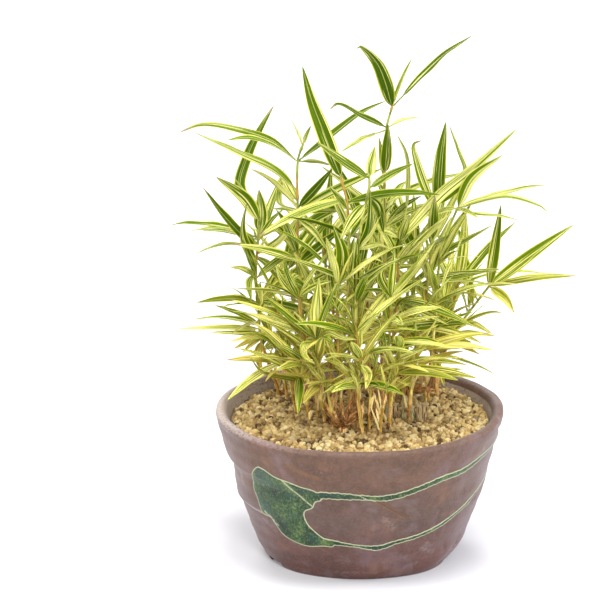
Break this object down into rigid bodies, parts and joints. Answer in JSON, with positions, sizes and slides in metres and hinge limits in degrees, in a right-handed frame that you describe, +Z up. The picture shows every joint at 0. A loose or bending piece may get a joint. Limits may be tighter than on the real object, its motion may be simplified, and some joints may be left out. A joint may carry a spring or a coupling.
{
  "type": "potted variegated dwarf bamboo",
  "caption": "Clump of striped dwarf bamboo stems standing in gravel in a low tapered stoneware bowl with a trailing glaze ornament.",
  "frame": {"origin": "middle of the pot's flat underside", "axes": "+Z up along the plant's height, +Y away from the viewer, +X to the right as seen from the side with the glaze ornament"},
  "size_m": [0.185, 0.1382, 0.2338],
  "materials": {
    "clay": "matte unglazed stoneware with a green glaze ornament",
    "gravel": "rough",
    "bamboo": "satin leaf",
    "dry_sheath": "matte and fibrous",
    "cut_stub": "matte",
    "net": "matte"
  },
  "bodies": {
    "root": {"pot": "clay", "drain_net_1": "net", "drain_net_2": "net", "drain_net_3": "net", "gravel": "gravel", "dry_sheaths_front": "dry_sheath", "dry_sheaths_back": "dry_sheath", "cut_stubs": "cut_stub", "leafy_stem_01": "bamboo", "leafy_stem_02": "bamboo", "leafy_stem_03": "bamboo", "leafy_stem_04": "bamboo", "leafy_stem_05": "bamboo", "leafy_stem_06": "bamboo", "leafy_stem_07": "bamboo", "leafy_stem_08": "bamboo", "leafy_stem_09": "bamboo", "leafy_stem_10": "bamboo", "leafy_stem_11": "bamboo", "leafy_stem_12": "bamboo", "leafy_stem_13": "bamboo", "leafy_stem_14": "bamboo", "leafy_stem_15": "bamboo", "leafy_stem_16": "bamboo", "leafy_stem_17": "bamboo", "leafy_stem_18": "bamboo", "leafy_stem_19": "bamboo", "leafy_stem_20": "bamboo", "leafy_stem_21": "bamboo", "leafy_stem_22": "bamboo", "leafy_stem_23": "bamboo", "leafy_stem_24": "bamboo", "leafy_stem_25": "bamboo", "leafy_stem_26": "bamboo", "leafy_stem_27": "bamboo", "leafy_stem_28": "bamboo", "leafy_stem_29": "bamboo", "leafy_stem_30": "bamboo", "leafy_stem_31": "bamboo", "leafy_stem_32": "bamboo", "leafy_stem_33": "bamboo", "leafy_stem_34": "bamboo", "leafy_stem_35": "bamboo", "leafy_stem_36": "bamboo", "leafy_stem_37": "bamboo"}
  },
  "joints": []
}
